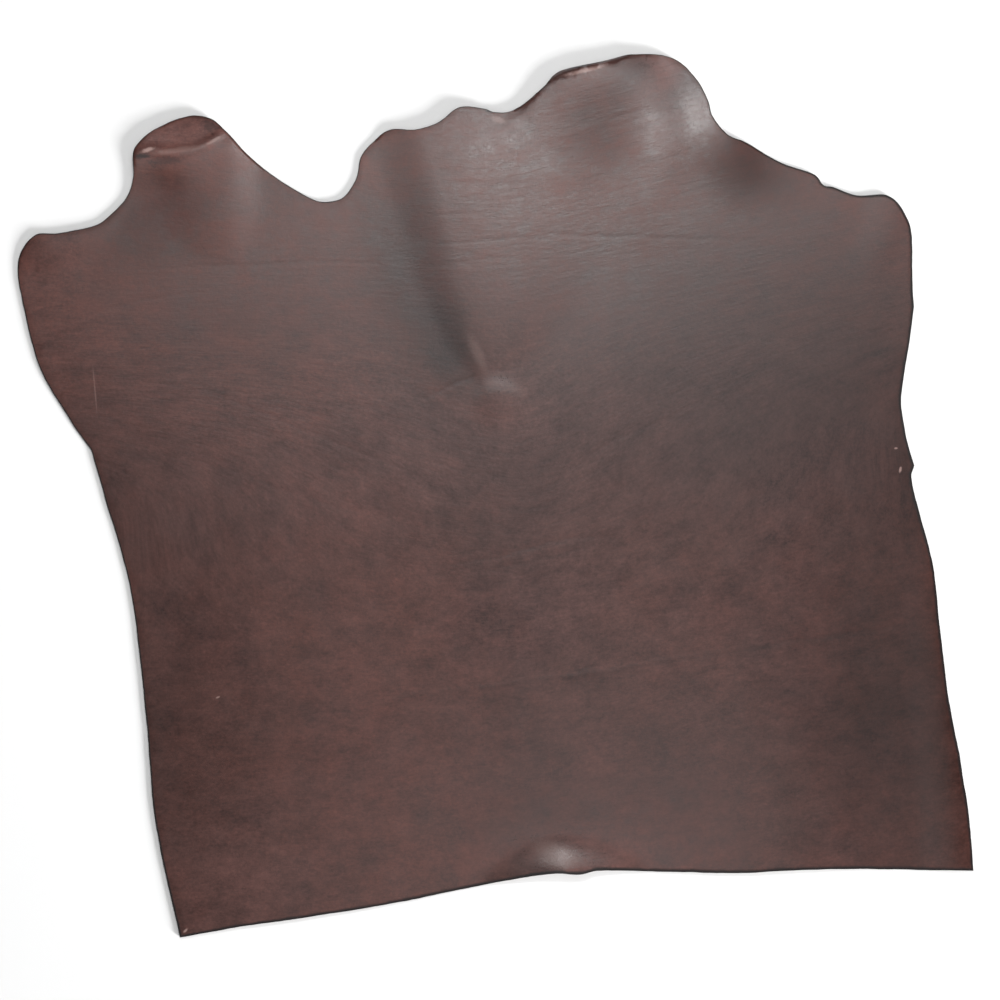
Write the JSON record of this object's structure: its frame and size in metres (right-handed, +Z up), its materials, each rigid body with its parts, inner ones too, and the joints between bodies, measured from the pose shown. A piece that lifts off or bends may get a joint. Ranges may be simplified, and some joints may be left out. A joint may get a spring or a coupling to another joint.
{
  "type": "leather hide",
  "caption": "Tanned cattle double shoulder laid flat, grain side up: natural neck, shanks and flanks, straight butt cut, low buckles, swells and a curled neck lip.",
  "frame": {"origin": "centre of the box's base, on the surface the hide lies on", "axes": "+Z up through the sheet, +Y along the backbone from the butt cut to the neck, +X to the right seen from above with the neck away"},
  "size_m": [1.185, 1.1132, 0.0158],
  "materials": {
    "leather": "smooth waxed grain side with a soft sheen, matt suede-like flesh side below"
  },
  "bodies": {
    "root": {"hide": "leather"}
  },
  "joints": []
}
